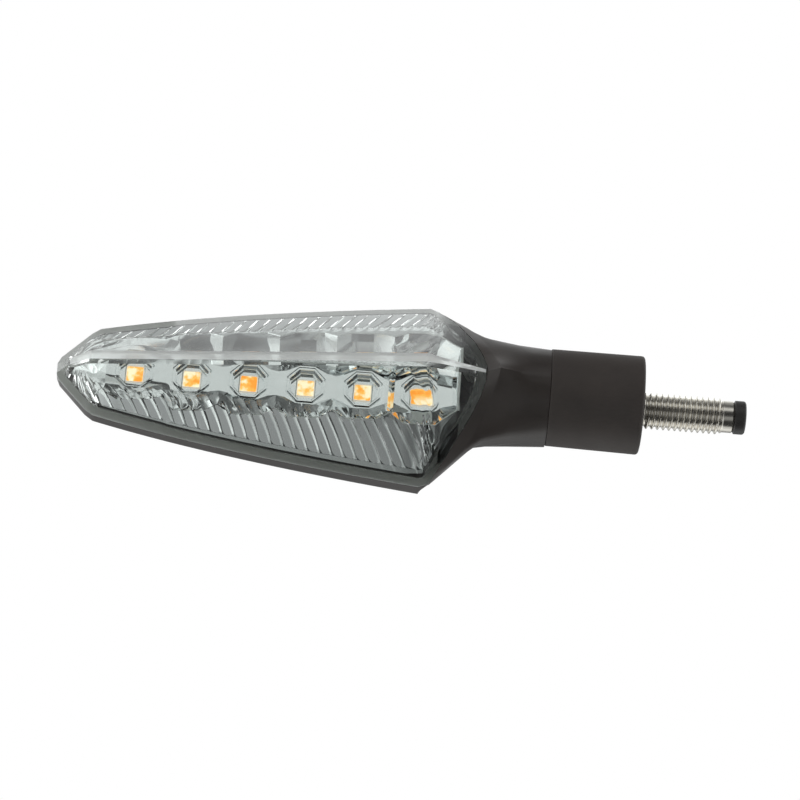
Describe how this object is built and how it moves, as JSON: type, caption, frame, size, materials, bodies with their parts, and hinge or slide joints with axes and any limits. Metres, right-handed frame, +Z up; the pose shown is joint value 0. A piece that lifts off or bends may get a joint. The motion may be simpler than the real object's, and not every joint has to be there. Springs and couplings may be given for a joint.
{
  "type": "turn signal indicator",
  "caption": "Leaf-shaped LED motorcycle turn signal: clear faceted lens over a bright reflector, dark rear shell, flexible rubber stalk and hollow threaded stud.",
  "frame": {"origin": "on the stud's axis, in the plane of the rubber stalk's end face, which seats on the motorcycle", "axes": "+X along the stud towards its free end, -Y the way the lens faces, +Z up"},
  "size_m": [0.1501, 0.0285, 0.0434],
  "materials": {
    "lens_clear": "clear, polished",
    "sealant": "satin",
    "housing_black": "satin, fine moulded grain",
    "reflector_bright": "vacuum metallised",
    "board_laminate": "solder mask",
    "led_package": "amber phosphor in a white package",
    "chip_black": "moulded",
    "ceramic_tan": "fired",
    "plated_steel": "bright zinc plate",
    "solder": "bright",
    "lead_red": "satin insulation",
    "lead_black": "satin insulation",
    "stalk_rubber": "matte moulded",
    "bush_black": "moulded",
    "contact_brass": "bright"
  },
  "bodies": {
    "mount": {"mounting_stud": "plated_steel", "stud_end_bush": "bush_black", "live_contact": "contact_brass", "ground_contact": "contact_brass"},
    "stalk": {"rubber_stalk": "stalk_rubber", "live_lead": "lead_red", "ground_lead": "lead_black"},
    "lamp": {"rear_housing": "housing_black", "lens": "lens_clear", "lens_seal": "sealant", "reflector": "reflector_bright", "circuit_board": "board_laminate", "led_1": "led_package", "led_2": "led_package", "led_3": "led_package", "led_4": "led_package", "led_5": "led_package", "led_6": "led_package", "driver_chip": "chip_black", "resistor_1": "chip_black", "resistor_2": "chip_black", "resistor_3": "chip_black", "diode": "chip_black", "capacitor": "ceramic_tan", "board_screw_1": "plated_steel", "board_screw_2": "plated_steel", "live_solder_joint": "solder", "ground_solder_joint": "solder", "potting_plug": "sealant"}
  },
  "joints": [
    {"name": "stalk_bend_fore_aft", "type": "hinge", "parent": "mount", "child": "stalk", "pos_m": [-0.0105, -0.0012, 0], "axis": [0, 0, 1], "range_deg": [-12, 12], "stiffness_Nm_per_rad": 8, "deforming": ["rubber_stalk", "live_lead", "ground_lead"]},
    {"name": "stalk_bend_up_down", "type": "hinge", "parent": "stalk", "child": "lamp", "pos_m": [-0.0105, -0.0012, 0], "axis": [0, 1, 0], "range_deg": [-12, 12], "stiffness_Nm_per_rad": 8, "deforming": ["rubber_stalk", "live_lead", "ground_lead"]}
  ]
}
